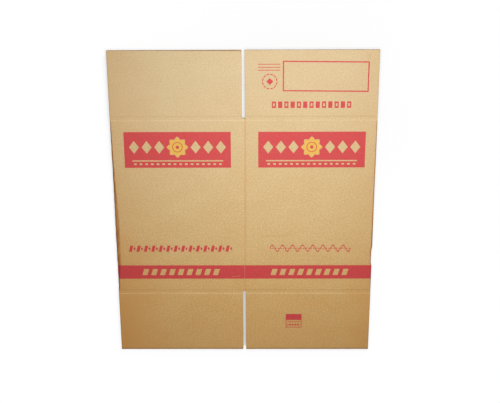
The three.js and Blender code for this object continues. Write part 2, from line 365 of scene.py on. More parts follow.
# Shapes left bare in the band and the fields, and the small red shapes on walls and flaps.
printSettings = {
    "red": linear(207, 66, 67),
    "deepRed": linear(190, 34, 38),
    "gold": linear(228, 180, 74),
    "ragged": {"size": 2.6, "detail": 2},
    "raggedBy": 0.9,
    "centre": (fieldLow.x + fieldHigh.x) / 2,
    "farCentre": (farFieldLow.x + farFieldHigh.x) / 2,
    "fieldHalf": (fieldHigh.x - fieldLow.x) / 2,
    "lozenges": {"start": 42.0, "pitch": 41.0, "width": 34.0, "height": 44.0, "count": 3, "sharp": 12},
    "rosette": {
        "y": (rosetteLow.y + rosetteHigh.y) / 2,
        "radius": (rosetteHigh.y - rosetteLow.y) / 2,
        "waist": 0.72,
        "petals": 8,
        "halo": 2.2,
        "haloBare": 0.85,
        "ring": (14.5, 17.0),
        "eye": 5.5,
    },
    "rule": {"half": 148.0, "rise": 21.0, "height": 4.0},
    "studs": {"pitch": 18.5, "ends": (5.0, 13.5), "underRule": (11.5, 6.0)},
    "slashes": {"count": 9, "pitch": 30.0, "width": 17.0, "height": 22.0, "lean": 7.0},
    # low on the left wall: leaning bars with lozenges between them
    "row": {"ends": (-388.0, -38.0), "middle": -143.0, "half": 11.0, "pitch": 25.0},
    "rowBar": {"lean": 0.25, "ends": (2.5, 12.5)},
    "rowLozenge": {"at": 19.0, "halfWidth": 4.5, "halfHeight": 7.5, "sharp": 4},
    # low on the right wall: a wave over a dotted line
    "wave": {"ends": (86.0, 358.0), "middle": -142.0, "swing": 11.0, "length": 34.0, "half": 2.3},
    "dots": {"pitch": 8.5, "ends": (2.0, 6.5), "half": 1.6},
    # on the right top flap: a row of bars, every other one hollow, a dashed ring, and three lines
    "title": {"ends": (91.0, 351.0), "low": 331.0, "high": 352.0, "pitch": 20.0, "bar": (0.0, 13.5)},
    "hollow": {"ends": (4.0, 9.5), "setIn": 6.0},
    "ring": {
        "x": 84.4,
        "y": 415.3,
        "radius": 24.5,
        "line": 3.4,
        "dashes": 12,
        "dash": (0.13, 0.87),  # its ends, in shares of the way to the next one
        "dashSoft": 0.05,
        "lozenge": 12.0,
        "sharp": 8,
    },
    "lines": {"ends": (47.0, 118.0), "heights": (469.5, 460.0, 451.0), "half": 1.1},
    "frame": {"line": 4.0, "skew": 0.0105},  # set a little askew
    # on the right bottom flap: a block over a box with two broken lines
    "mark": {"line": 2.5, "block": 20.5, "setIn": 6.0, "ink": 0.9},
    "markRows": (
        {"above": 6.5, "half": 1.7, "pitch": 6.0, "dash": (1.0, 4.8)},
        {"above": -4.5, "half": 3.25, "pitch": 9.0, "dash": (1.0, 7.8)},
    ),
}


# The gold rosette with a red ring and eye, and the thin bare halo round it.
def rosetteInk(sh, across, up, s):
    radius = sh.distance(across, up)
    petal = abs(sh.sector(across, up, s["petals"]) - 0.5) * 2
    reach = s["radius"] * (s["waist"] + (1 - s["waist"]) * petal)
    whole = sh.upTo(radius, reach)
    halo = sh.upTo(radius, reach + s["halo"]) * (1 - whole)
    red = sh.within(radius, *s["ring"]).orElse(sh.upTo(radius, s["eye"]))
    return whole * (1 - red), halo * s["haloBare"]


def lozengesInField(sh, apart, up, s):
    local = (apart - s["start"]) % s["pitch"] - s["width"] / 2
    lozenges = sh.lozenge(local, up, s["width"] / 2, s["height"] / 2, s["sharp"])
    return lozenges * sh.within(apart, s["start"], s["start"] + s["count"] * s["pitch"])


# A rule and, under it, a row of studs.
def ruleInField(sh, across, y, rule, studs):
    low = fieldLow.y + rule["rise"]
    line = sh.within(y, low, low + rule["height"])
    row = sh.within(y, *[low - under for under in studs["underRule"]])
    row = row * sh.within(across % studs["pitch"], *studs["ends"])
    return line.orElse(row) * sh.upTo(abs(across), rule["half"])


# The red field, bare in the halo, in the lozenges on both sides of it and in the rule.
def fieldInk(sh, across, up, y, halo, p):
    apart = abs(across)
    field = sh.upTo(apart, p["fieldHalf"]) * sh.within(y, fieldLow.y, fieldHigh.y)
    lozenges = lozengesInField(sh, apart, up, p["lozenges"])
    rule = ruleInField(sh, across, y, p["rule"], p["studs"])
    return field * (1 - lozenges) * (1 - rule) * (1 - halo)


# The bare slanted strokes in the band, in line with the fields over them.
def slashesInBand(sh, across, y, s):
    up = y - (bandLow.y + bandHigh.y) / 2
    leaning = across - up * (s["lean"] / s["height"])
    local = abs((leaning + s["pitch"] / 2) % s["pitch"] - s["pitch"] / 2)
    slashes = sh.upTo(local, s["width"] / 2) * sh.upTo(abs(up), s["height"] / 2)
    return slashes * sh.upTo(abs(leaning), s["pitch"] * s["count"] / 2)


def barRow(sh, x, y, row, bar, lozenge):
    up = y - row["middle"]
    local = (x - row["ends"][0]) % row["pitch"]
    bars = sh.within(local - up * bar["lean"], *bar["ends"]) * sh.upTo(abs(up), row["half"])
    size = (lozenge["halfWidth"], lozenge["halfHeight"], lozenge["sharp"])
    return bars.orElse(sh.lozenge(local - lozenge["at"], up, *size)) * sh.within(x, *row["ends"])


def waveLine(sh, x, y, wave, dots):
    up = y - wave["middle"]
    phase = (x - wave["ends"][0]) * (2 * math.pi / wave["length"])
    line = sh.upTo(abs(up - phase.sine() * wave["swing"]), wave["half"])
    row = sh.upTo(abs(up), dots["half"]) * sh.within(x % dots["pitch"], *dots["ends"])
    return line.orElse(row) * sh.within(x, *wave["ends"])


def titleRow(sh, x, y, title, hollow):
    local = x - title["ends"][0]
    bars = sh.within(local % title["pitch"], *title["bar"]) * sh.within(y, title["low"], title["high"])
    holes = sh.within(local % (2 * title["pitch"]), *hollow["ends"])
    holes = holes * sh.within(y, title["low"] + hollow["setIn"], title["high"] - hollow["setIn"])
    return bars * (1 - holes) * sh.within(x, *title["ends"])


def dashedRing(sh, x, y, s):
    dx = x - s["x"]
    dy = y - s["y"]
    ring = sh.within(sh.distance(dx, dy), s["radius"] - s["line"], s["radius"])
    dashes = sh.within(sh.sector(dx, dy, s["dashes"]), *s["dash"], s["dashSoft"])
    return (ring * dashes).orElse(sh.lozenge(dx, dy, s["lozenge"], s["lozenge"], s["sharp"]))


def topFlapInk(sh, x, y, p):
    ink = titleRow(sh, x, y, p["title"], p["hollow"]).orElse(dashedRing(sh, x, y, p["ring"]))
    lines = p["lines"]
    inLines = sh.within(x, *lines["ends"])
    for height in lines["heights"]:
        ink = ink.orElse(sh.upTo(abs(y - height), lines["half"]) * inLines)
    tilted = y + (x - (frameLow.x + frameHigh.x) / 2) * p["frame"]["skew"]
    return ink.orElse(sh.hollowBox(x, tilted, frameLow, frameHigh, p["frame"]["line"]))


def bottomFlapInk(sh, x, y, mark, rows):
    blockLow = Vector((markLow.x, markHigh.y - mark["block"]))
    boxHigh = Vector((markHigh.x, blockLow.y))
    ink = sh.box(x, y, blockLow, markHigh).orElse(sh.hollowBox(x, y, markLow, boxHigh, mark["line"]))
    inBox = sh.within(x, markLow.x + mark["setIn"], markHigh.x - mark["setIn"]) * mark["ink"]
    fromMiddle = y - (markLow.y + blockLow.y) / 2
    for row in rows:
        line = sh.upTo(abs(fromMiddle - row["above"]), row["half"]) * inBox
        ink = ink.orElse(line * sh.within(x % row["pitch"], *row["dash"]))
    return ink


# The small red shapes: two on the walls and the rest on the flaps.
def smallInk(sh, x, y, p):
    ink = barRow(sh, x, y, p["row"], p["rowBar"], p["rowLozenge"])
    ink = ink.orElse(waveLine(sh, x, y, p["wave"], p["dots"]))
    return ink.orElse(topFlapInk(sh, x, y, p)).orElse(bottomFlapInk(sh, x, y, p["mark"], p["markRows"]))


# Where the printed face is paler, browner or marked, by painted sheen and shade as well as by wear. Fades
# are start, end and amount.
wearAndPaintedLightSettings = {
    # painted sheen: the face grows paler towards the top
    "headSheen": (-320, 420, 0.44),
    "low": (60, -330),  # heights between which the lower half's painted shade comes in
    # painted shade: warmer and browner at the sides low down and towards the bottom
    "leftWarm": (-250, -430, 0.55),
    "rightWarm": (330, 432, 0.3),
    "sidesAtTop": 0.4,
    "footWarm": (-100, -520, 0.4),
    "wrinkle": {"size": 6, "detail": 4, "stretch": (1, 0.22, 1), "rough": 0.7},
    "wrinklePale": (0.4, 0.62),
    "wrinkleHeight": 3,
    # painted shade on the rounded folds
    "foldShade": (0.02, 0.5, 0.9),
    "ridge": {"below": 7.0, "half": 1.0, "soft": 1.5},  # under each crease, a pale line: painted highlight and rubbing
    "ridgePale": (0.3, 0.5, 0.2),
    "darkerEnd": (6.0, 3.5, 0.7),  # darker along the bottom flaps' free ends, measured from them
    # ink misses pores, cracks on the middle crease and wears off the folds
    "pore": {"size": 2.0, "detail": 2},
    "pores": (0.62, 0.74, 0.5),
    "poresInGold": 0.6,
    "crack": {"ends": (0.8, 2.2), "soft": 0.8},
    "crackFade": (0.35, 0.6, 0.7),
    "scratch": {"x": (-42.0, -15.0), "y": (-244.3, -242.9), "soft": 0.8, "endSoft": 2.0},
    "scratchSlope": 0.09,
    "scratchBare": 0.5,
    "wornFold": (0.75, 1),
    "wornFade": (0.45, 0.65, 0.5),
    # the red deepens at random with the grain, in the painted shade on the folds and in the painted shade
    # low down
    "deepGrain": (0.3, 0.75, 0.3),
    "deepFold": (0.1, 0.7, 0.6),
    "deepLow": 0.1,
    "redTone": (0.93, 0.16),
    "goldTone": (0.88, 0.22),
    # dirt
    "smudges": ({"x": 204.0, "y": 499.0, "radius": 11.0}, {"x": 395.0, "y": 494.0, "radius": 12.0}),
    "smudgeCore": 0.3,
    "smudgeFade": (0.35, 0.7, 0.22),
    "scuff": {"x": (47.0, 154.0), "y": (-99.6, -97.6), "soft": 1.0, "endSoft": 6.0},
    "scuffDirt": 0.22,
    # the upright crease between the two front walls: a warm stain, and a thin line of painted shade in its
    # groove
    "crease": {"end": 296.0, "endSoft": 0.5, "shift": 3.0},
    "creaseStain": {"ends": (-1.0, 6.0), "soft": 3.0, "warm": 0.32},
    "creaseLine": {"ends": (1.4, 4.0), "soft": 2.0, "dirtAndShade": 0.09, "least": 0.7, "patches": 0.6},
}


# Painted light and shade with the wear: a painted sheen paler towards the top, painted shade warmer low down
# and brown on the folds, a pale line under each crease that is painted highlight and rubbing, and darker
# along the bottom.
def paintedLightAndAgedBoard(sh, board, fold, wrinkle, kraft, wearAndPaintedLight):
    sides = sh.fade(sh.x, *wearAndPaintedLight["leftWarm"]) + sh.fade(sh.x, *wearAndPaintedLight["rightWarm"])
    sides = sides * (sh.ramp(sh.y, *wearAndPaintedLight["low"]) * (1 - wearAndPaintedLight["sidesAtTop"]) + wearAndPaintedLight["sidesAtTop"])
    # painted sheen, paler towards the top
    board = sh.mix(sh.fade(sh.y, *wearAndPaintedLight["headSheen"]), board, kraft["pale"])
    # painted shade: warmer at the sides low down and towards the bottom
    board = sh.mix((sides + sh.fade(sh.y, *wearAndPaintedLight["footWarm"])).clip(), board, kraft["warm"])
    # painted shade on the rounded folds, lighter in their wrinkles
    foldTone = sh.mix(sh.ramp(wrinkle, *wearAndPaintedLight["wrinklePale"]), kraft["foldShade"], kraft["foldPale"])
    board = sh.mix(sh.fade(fold, *wearAndPaintedLight["foldShade"]), board, foldTone)
    # a pale line under each crease: painted highlight, and rubbing
    ridge = wearAndPaintedLight["ridge"]
    fromRidge = abs(abs(sh.y + ridge["below"]) - carton["crease"])
    rubbedAndLit = sh.upTo(fromRidge, ridge["half"], ridge["soft"]) * sh.fade(sh.cloud, *wearAndPaintedLight["ridgePale"])
    board = sh.mix(rubbedAndLit, board, kraft["rubbedAndLit"])
    # darker along the bottom flaps' free ends
    fromEnd = sh.y + (carton["crease"] + carton["flapLength"])
    return sh.mix(sh.fade(fromEnd, *wearAndPaintedLight["darkerEnd"]), board, kraft["cut"])


def thinMark(sh, y, s):  # a long thin mark along X, at its own height
    return sh.within(y, *s["y"], s["soft"]) * sh.within(sh.x, *s["x"], s["endSoft"])


# How much of the ink is left where it is printed.
def inkCover(sh, x, band, front, fold, pores, wearAndPaintedLight):
    cracked = sh.within(x, *wearAndPaintedLight["crack"]["ends"], wearAndPaintedLight["crack"]["soft"]) * band * front
    cracked = cracked * sh.fade(sh.grain, *wearAndPaintedLight["crackFade"])
    rise = (sh.x - wearAndPaintedLight["scratch"]["x"][0]) * wearAndPaintedLight["scratchSlope"]
    scratched = thinMark(sh, sh.y - rise, wearAndPaintedLight["scratch"]) * wearAndPaintedLight["scratchBare"]
    worn = sh.ramp(fold, *wearAndPaintedLight["wornFold"]) * sh.fade(sh.grain, *wearAndPaintedLight["wornFade"])
    return (1 - pores) * (1 - cracked) * (1 - scratched) * (1 - worn)


# The stain of the middle crease and a thin line of painted shade in its groove, a scuff, and smudges near a
# free end.
def marked(sh, colour, red, front, kraft, wearAndPaintedLight):
    crease = wearAndPaintedLight["crease"]
    fromCrease = sh.x - (sh.y + carton["crease"]) * (crease["shift"] / (2 * carton["crease"]))
    onCrease = sh.upTo(abs(sh.y), crease["end"], crease["endSoft"]) * front
    stain = wearAndPaintedLight["creaseStain"]
    stained = sh.within(fromCrease, *stain["ends"], stain["soft"]) * onCrease * stain["warm"]
    colour = sh.mix(stained * (1 - red), colour, kraft["warm"])
    # painted shade: a darker line in the middle crease's groove, in patches
    line = wearAndPaintedLight["creaseLine"]
    dirtAndShade = sh.within(fromCrease, *line["ends"], line["soft"]) * onCrease * line["dirtAndShade"]
    dirtAndShade = dirtAndShade * (line["least"] + sh.cloud * line["patches"])
    dirtAndShade = dirtAndShade + thinMark(sh, sh.y, wearAndPaintedLight["scuff"]) * wearAndPaintedLight["scuffDirt"]
    smudgeFade = sh.fade(sh.fibre, *wearAndPaintedLight["smudgeFade"])
    for smudge in wearAndPaintedLight["smudges"]:
        away = sh.distance(sh.x - smudge["x"], sh.y - smudge["y"])
        core = smudge["radius"] * wearAndPaintedLight["smudgeCore"]
        dirtAndShade = dirtAndShade + sh.ramp(away, smudge["radius"], core) * smudgeFade
    return sh.mix(dirtAndShade.clip(), colour, kraft["cut"])


# The outer face: bare board with the red and gold ink, the wear of handling, and painted sheen and shade.
def makePrintedBoard(kraft, p, wearAndPaintedLight):
    sh = BoardShader("printedBoard")
    board, height = bareBoard(sh, kraft["liner"], kraft)
    fold = sh.attribute("fold", "Fac")
    wrinkle = sh.noise(sh.place, **wearAndPaintedLight["wrinkle"])
    board = paintedLightAndAgedBoard(sh, board, fold, wrinkle, kraft, wearAndPaintedLight)
    height = height + fold * wrinkle * wearAndPaintedLight["wrinkleHeight"]

    ragged = (sh.noise(sh.place, **p["ragged"]) - 0.5) * p["raggedBy"]
    x = sh.x + ragged
    y = sh.y + ragged
    front = sh.z > carton["pack"] / 2
    onRight = x > (p["centre"] + p["farCentre"]) / 2
    across = x - p["centre"] - onRight * (p["farCentre"] - p["centre"])
    up = y - p["rosette"]["y"]
    gold, halo = rosetteInk(sh, across, up, p["rosette"])
    field = fieldInk(sh, across, up, y, halo, p)
    band = sh.within(y, bandLow.y, bandHigh.y)
    red = band * (1 - slashesInBand(sh, across, y, p["slashes"]) * front)
    red = red.orElse(field.orElse(smallInk(sh, x, y, p)) * front)

    pores = sh.fade(sh.noise(sh.place, **wearAndPaintedLight["pore"]), *wearAndPaintedLight["pores"])
    # deeper red: at random, in painted shade on the folds, and in painted shade low down
    deep = sh.fade(sh.grain, *wearAndPaintedLight["deepGrain"]) + sh.fade(fold, *wearAndPaintedLight["deepFold"])
    deep = deep + sh.ramp(sh.y, *wearAndPaintedLight["low"]) * wearAndPaintedLight["deepLow"]
    redTone = sh.mix(deep.clip(), p["red"], p["deepRed"])
    redTone = sh.shade(redTone, wearAndPaintedLight["redTone"][0] + sh.fibre * wearAndPaintedLight["redTone"][1])
    goldTone = sh.shade(p["gold"][:3], wearAndPaintedLight["goldTone"][0] + sh.grain * wearAndPaintedLight["goldTone"][1])
    colour = sh.mix(red * inkCover(sh, x, band, front, fold, pores, wearAndPaintedLight), board, redTone)
    colour = sh.mix(gold * front * (1 - pores * wearAndPaintedLight["poresInGold"]), colour, goldTone)
    colour = marked(sh, colour, red, front, kraft, wearAndPaintedLight)
    sh.finish(colour, sh.fibre, height, kraft["outerLook"])
    return sh.material


boardMaterials = (
    makePrintedBoard(kraftSettings, printSettings, wearAndPaintedLightSettings),
    makeInnerLiner(kraftSettings),
    makeCutEdge(kraftSettings),
    makeFlutingPaper(kraftSettings),
)
printedFace, innerFace, cutFace, paperFace = range(len(boardMaterials))
print("materials made")


# A closed shell between two grids of points: its points, faces, materials and fold shares.
def sheet(outer, inner, fold=None, faces=(printedFace, innerFace)):
    rows, columns = outer.shape[:2]
    points = np.concatenate((outer.reshape(-1, 3), inner.reshape(-1, 3)))
    under = rows * columns
    quads = []
    kinds = []
    for row in range(rows - 1):
        for column in range(columns - 1):
            a = row * columns + column
            quad = (a, a + 1, a + columns + 1, a + columns)
            quads += [quad, tuple(under + i for i in reversed(quad))]
            kinds += faces
    rim = [(0, column) for column in range(columns)]
    rim += [(row, columns - 1) for row in range(1, rows)]
    rim += [(rows - 1, column) for column in range(columns - 2, -1, -1)]
    rim += [(row, 0) for row in range(rows - 2, 0, -1)]
    rim = [row * columns + column for row, column in rim]
    for a, b in zip(rim, rim[1:] + rim[:1]):
        quads.append((b, a, under + a, under + b))
        kinds.append(cutFace)
    share = np.zeros(len(points)) if fold is None else np.tile(fold.reshape(-1), 2)
    return points, quads, kinds, share


sharpAngle = 38  # between two faces, past which the edge is drawn sharp


def makePiece(name, shells, nodes):
    points, quads, kinds, shares = [], [], [], []
    count = 0
    for shellPoints, shellQuads, shellKinds, shellShare in shells:
        points.append(shellPoints)
        quads += [tuple(i + count for i in quad) for quad in shellQuads]
        kinds += shellKinds
        shares.append(shellShare)
        count += len(shellPoints)
    points = np.concatenate(points) * mm
    mesh = bpy.data.meshes.new(name)
    mesh.from_pydata(points.tolist(), [], quads)
    mesh.polygons.foreach_set("material_index", kinds)
    for material in boardMaterials:
        mesh.materials.append(material)
    lie = mesh.attributes.new("lie", "FLOAT_VECTOR", "POINT")
    lie.data.foreach_set("vector", points.reshape(-1))
    fold = mesh.attributes.new("fold", "FLOAT", "POINT")
    fold.data.foreach_set("value", np.concatenate(shares))
    work = bmesh.new()
    work.from_mesh(mesh)
    bmesh.ops.recalc_face_normals(work, faces=work.faces)
    work.to_mesh(mesh)
    work.free()
    mesh.shade_smooth()
    mesh.set_sharp_from_angle(angle=math.radians(sharpAngle))
    piece = bpy.data.objects.new(name, mesh)
    scene.collection.objects.link(piece)
    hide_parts(*nodes)
    return piece


# Handled board is never quite flat: lengths of its waves, and their shares of the sag.
sagSettings = {
    "long": (67, 91),
    "cross": (113, 151),
    "short": (23, 31),
    "mean": 0.5,
    "swell": 0.38,
    "ripple": 0.12,
}


def sag(x, y, amount, phase, s=sagSettings):  # how far a face lies under its flat plane
    swell = np.sin(x / s["long"][0] + y / s["long"][1] + phase)
    swell = swell * np.sin(y / s["cross"][0] - x / s["cross"][1] + 2 * phase)
    ripple = np.sin(x / s["short"][0] + phase * 3) * np.sin(y / s["short"][1] + phase)
    return amount * (s["mean"] + s["swell"] * swell + s["ripple"] * ripple)


def creaseDip(fromCrease, depth):  # depth of a crushed crease at a distance from its middle
    ramp = (carton["creaseHalf"] - np.abs(fromCrease)) / carton["creaseRamp"]
    ramp = np.clip(ramp, 0, 1)
    return depth * ramp * ramp * (3 - 2 * ramp)


# The sleeve: one sheet from the glued joint round both folds and back, with the glue tab.
sleeveSettings = {
    "wallColumns": 44,
    "foldColumns": 18,
    "creaseColumns": 10,
    "rowSpacing": 8.0,
    "end": 0.3,  # from the crease's middle to the walls' ends
    "rowsAtEnd": (0, 3, 5, 5.6, 6.2, 6.8, 10),
    "sag": 0.4,
    "phases": {"backLeft": 0.7, "front": 1.9, "backRight": 2.6},
    "innerFold": 2.0,
    "foldShare": 0.6,  # the less, the further the fold's painted shade and wear run round
    "leftReach": ((-298, 6), (-252, 8), (-196, 16), (-50, 16), (110, 9), (298, 4)),  # height, reach
    "rightReach": ((-298, 3), (-251, 4), (-202, 4), (-150, 7), (0, 5.5), (298, 3.5)),
    "notch": ((-252, 0), (-204, 0), (-196, 3), (-152, 2.6), (-140, 0)),  # the right fold is bumped in
    "leftWobble": {"depth": 0.6, "slow": 53, "quick": 13, "uneven": 47},
    "rightWobble": {"depth": 0.35, "slow": 61},
    "middleCrease": (2.0, 5.0),  # its place at the bottom and at the top
    "middleHalf": 3.4,
    "middleDepth": 0.3,
    "joint": (-2.5, 0.0),
    "tab": {"left": -38.0, "right": 3.0, "low": 7.1, "high": 10.2, "setback": 3.0, "taper": 14.0},
    "tabCrush": 0.5,
    "tabGrid": (9, 40),  # columns, rows
}


# One row of a wall: x and z of its outer and inner face, and its fold share, which is nothing.
def wallRow(s, y, outer, inner, side, columns):
    outerX = np.linspace(*outer, columns)
    innerX = np.linspace(*inner, columns)
    pressed = creaseDip(carton["crease"] - abs(y), carton["creaseDepth"] + carton["creaseRest"])
    sunk = pressed + sag(outerX, y, s["sag"], s["phases"][side])
    if side == "front":
        outerZ = carton["pack"] - sunk
        innerZ = np.full(columns, carton["pack"] - carton["board"])
    else:
        outerZ = sunk
        innerZ = np.full(columns, carton["board"])
    return outerX, outerZ, innerX, innerZ, np.zeros(columns)


# One row round a fold. It bulges by reach, and ends at the levels of the walls below and above it.
def foldRow(s, edge, reach, inward, below, above):
    turn = np.linspace(-math.pi / 2, math.pi / 2, s["foldColumns"] + 1)[::inward]
    middle = carton["pack"] / 2
    outerX = edge + inward * (reach - reach * np.cos(turn))
    outerZ = middle + np.where(turn < 0, middle - below, above - middle) * np.sin(turn)
    innerX = edge + inward * (carton["board"] + s["innerFold"] - s["innerFold"] * np.cos(turn))
    innerZ = middle + s["innerFold"] * np.sin(turn)
    return outerX, outerZ, innerX, innerZ, np.cos(turn) ** s["foldShare"]


def between(row):  # a row without the end columns that it shares with its neighbours
    return [values[1:-1] for values in row]


def foldEdges(s, y):  # the places of the left and the right fold, which are a little uneven
    wobble = s["leftWobble"]
    slow = (1 + math.sin(y / wobble["slow"])) / 2
    quick = math.sin(y / wobble["quick"] + 2 * math.sin(y / wobble["uneven"])) ** 2
    left = -carton["half"] + wobble["depth"] * (slow + quick)
    wobble = s["rightWobble"]
    slow = (1 + math.sin(y / wobble["slow"] + 1)) / 2
    right = carton["half"] - np.interp(y, *zip(*s["notch"])) - wobble["depth"] * slow
    return left, right


def sleeveRow(s, y):
    leftReach = np.interp(y, *zip(*s["leftReach"]))
    rightReach = np.interp(y, *zip(*s["rightReach"]))
    left, right = foldEdges(s, y)
    lip = carton["board"] + s["innerFold"]
    creaseX = np.interp(y, (-carton["crease"], carton["crease"]), s["middleCrease"])
    creaseLeft = creaseX - s["middleHalf"]
    creaseRight = creaseX + s["middleHalf"]
    jointLeft, jointRight = s["joint"]
    n = s["wallColumns"]
    backLeft = wallRow(s, y, (jointLeft, left + leftReach), (jointLeft, left + lip), "backLeft", n)
    frontLeft = wallRow(s, y, (left + leftReach, creaseLeft), (left + lip, creaseLeft), "front", n)
    frontRight = wallRow(s, y, (creaseRight, right - rightReach), (creaseRight, right - lip), "front", n)
    backRight = wallRow(s, y, (right - rightReach, jointRight), (right - lip, jointRight), "backRight", n)
    across = np.linspace(-1, 1, s["creaseColumns"] + 1)
    ends = (creaseLeft, creaseRight)
    groove = list(wallRow(s, y, ends, ends, "front", len(across)))
    groove[1] = groove[1] - s["middleDepth"] * (0.5 + 0.5 * np.cos(across * math.pi))
    leftFold = foldRow(s, left, leftReach, 1, backLeft[1][-1], frontLeft[1][0])
    rightFold = foldRow(s, right, rightReach, -1, backRight[1][0], frontRight[1][-1])
    parts = [backLeft, between(leftFold), frontLeft, between(groove), frontRight]
    parts += [between(rightFold), backRight]
    outerX, outerZ, innerX, innerZ, fold = [np.concatenate(column) for column in zip(*parts)]
    rowY = np.full_like(outerX, y)
    return np.stack((outerX, rowY, outerZ), 1), np.stack((innerX, rowY, innerZ), 1), fold


def glueTab(s):
    tab = s["tab"]
    columns, rows = s["tabGrid"]
    across, along = np.meshgrid(np.linspace(0, 1, columns), np.linspace(-1, 1, rows))
    x = tab["left"] + (tab["right"] - tab["left"]) * across
    half = carton["crease"] - tab["setback"]
    y = along * (half - tab["taper"] * (1 - across))
    crush = s["tabCrush"] * (1 - across) ** 4
    top = np.stack((x, y, tab["high"] - crush), 2)
    under = np.stack((x, y, np.full_like(x, tab["low"])), 2)
    return sheet(top, under, faces=(innerFace, innerFace))


def makeSleeve(s):
    end = carton["crease"] - s["end"]
    near = [end - step for step in s["rowsAtEnd"]]
    count = round(2 * near[-1] / s["rowSpacing"])
    heights = [-height for height in near[:-1]]
    heights += list(np.linspace(-near[-1], near[-1], count))
    heights += near[-2::-1]
    rows = [sleeveRow(s, y) for y in heights]
    outer, inner, fold = [np.array(stack) for stack in zip(*rows)]
    nodes = ["sleeve", "print_band"]
    nodes += [f"print_{shape}_{side}" for shape in ("field", "rosette") for side in ("left", "right")]
    piece = makePiece("boardSleeve", (sheet(outer, inner, fold), glueTab(s)), nodes)
    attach(piece, "sleeve")


makeSleeve(sleeveSettings)
print("sleeve made")


# Flutes: a wavy ribbon of paper, pushed along the flap's length.
fluteSettings = {
    "fine": {"Pitch": carton["fineFlute"], "Height": 2.3, "Base": 0.8, "Seed": 3.0},
    "coarse": {"Pitch": 7.9, "Height": 3.2, "Base": 3.4, "Seed": 8.0},
    "both": {"Thickness": 0.35, "Crush": 0.35},
    "stepsPerFlute": 10,
    "swayScale": 0.03,
    "mergeDistance": 0.001,
    "setIn": 0.4,  # the flutes stop short of the liners at the cut end
    "sideGap": 0.3,
    "rootGap": 7.0,
}


def makeFluteTree(s):
    tree = bpy.data.node_groups.new("flutes", "GeometryNodeTree")
    names = ("Width", "Length", "Pitch", "Height", "Base", "Thickness", "Crush", "Seed")
    for name in names:
        tree.interface.new_socket(name, in_out="INPUT", socket_type="NodeSocketFloat")
    tree.interface.new_socket("Geometry", in_out="OUTPUT", socket_type="NodeSocketGeometry")
    graph = Graph(tree)
    entry = graph.add("NodeGroupInput")
    given = {name: graph.out(entry, name) for name in names}
    steps = (given["Width"] / given["Pitch"] * s["stepsPerFlute"]).maths("ROUND") + 1
    size = {"Size X": 1.0, "Size Y": 1.0, "Vertices X": steps, "Vertices Y": 2}
    grid = graph.made("GeometryNodeMeshGrid", {}, size)
    u, v, flat = graph.apart(graph.made("GeometryNodeInputPosition"))
    along = (u + 0.5) * given["Width"]
    wander = {"W": along * s["swayScale"] + given["Seed"], "Scale": 1.0}
    noise = graph.made("ShaderNodeTexNoise", {"noise_dimensions": "1D"}, wander)
    angle = (along / given["Pitch"] + (noise - 0.5) * given["Crush"]) * (2 * math.pi)
    swing = (given["Height"] - given["Thickness"]) / 2
    level = given["Base"] + given["Height"] / 2 + angle.sine() * swing + v * given["Thickness"]
    point = graph.made("ShaderNodeCombineXYZ", {}, {0: along, 1: 0.0, 2: level})
    ribbon = graph.made("GeometryNodeSetPosition", {}, {"Geometry": grid, "Position": point})
    reach = graph.made("ShaderNodeCombineXYZ", {}, {0: 0.0, 1: given["Length"], 2: 0.0})
    push = {"Mesh": ribbon, "Offset": reach, "Offset Scale": 1.0, "Individual": False}
    pushed = graph.made("GeometryNodeExtrudeMesh", {"mode": "FACES"}, push)
    join = graph.add("GeometryNodeJoinGeometry")
    graph.links.new(ribbon.socket, join.inputs[0])
    graph.links.new(pushed.socket, join.inputs[0])
    merge = {"Geometry": graph.out(join), "Distance": s["mergeDistance"]}
    merged = graph.made("GeometryNodeMergeByDistance", {}, merge)
    real = graph.made("GeometryNodeRealizeInstances", {}, {0: merged})
    dress = {"Geometry": real, "Material": boardMaterials[paperFace]}
    graph.add("NodeGroupOutput", {}, {"Geometry": graph.made("GeometryNodeSetMaterial", {}, dress)})
    return tree


fluteTree = makeFluteTree(fluteSettings)


def fluteShell(sizes):
    holder = bpy.data.objects.new("fluteHolder", bpy.data.meshes.new("fluteHolder"))
    scene.collection.objects.link(holder)
    modifier = holder.modifiers.new("flutes", "NODES")
    modifier.node_group = fluteTree
    for item in fluteTree.interface.items_tree:
        if item.in_out == "INPUT":
            modifier[item.identifier] = float(sizes[item.name])
    bpy.context.view_layer.update()
    evaluated = holder.evaluated_get(bpy.context.evaluated_depsgraph_get())
    mesh = bpy.data.meshes.new_from_object(evaluated)
    points = np.array([vertex.co for vertex in mesh.vertices])
    quads = [tuple(face.vertices) for face in mesh.polygons]
    bpy.data.objects.remove(holder)
    bpy.data.meshes.remove(mesh)
    return points, quads


# Flaps. In a flap's own terms, "along" runs out from its crease and "under" is the depth
# below its outer face.
flapSettings = {
    "spacing": 8.0,  # of columns and rows
    "edgeColumns": (0, 1, 2, 3.0, 4.2),
    "innerColumns": 6,
    "creaseRows": (-3.4, -1.7, 0, 1.7, 3.4),
    "rowsPastCrease": (3, 10),
    "pinch": 0.9,  # the slotting knives press the liners together
    "pinchWidth": 3.0,
    "pinchInner": 0.7,
    "pinchCurve": 1.5,
    "sag": 0.45,
    "sagFades": (6, 30),  # from the wall's sag at the crease to the flap's own: start, length
    "seed": 1.0,
    "seedSteps": {"front": 2, "outward": 0.7, "across": 0.4},
    "endWear": 0.35,
    "endWearMean": 0.5,
    "endWaves": ((0.3, 9, 1), (0.2, 2.7, 2)),  # share, length, turn
    "trim": 2.5,  # the front left top flap's free end runs off towards the slot
    "cornerRadius": 4.0,
    "stretchFrom": 20,  # rows past this follow the free end
    "creaseThin": 0.2,  # how much thinner the liner is where it laps the wall
    "middleLiner": (2.8, 3.3),
    "middleBow": 0.55,
    "middleSetIn": 0.2,
    "innerPress": 0.35,
    "pressLength": 1.5,
    "crushedPast": 0.6,
}


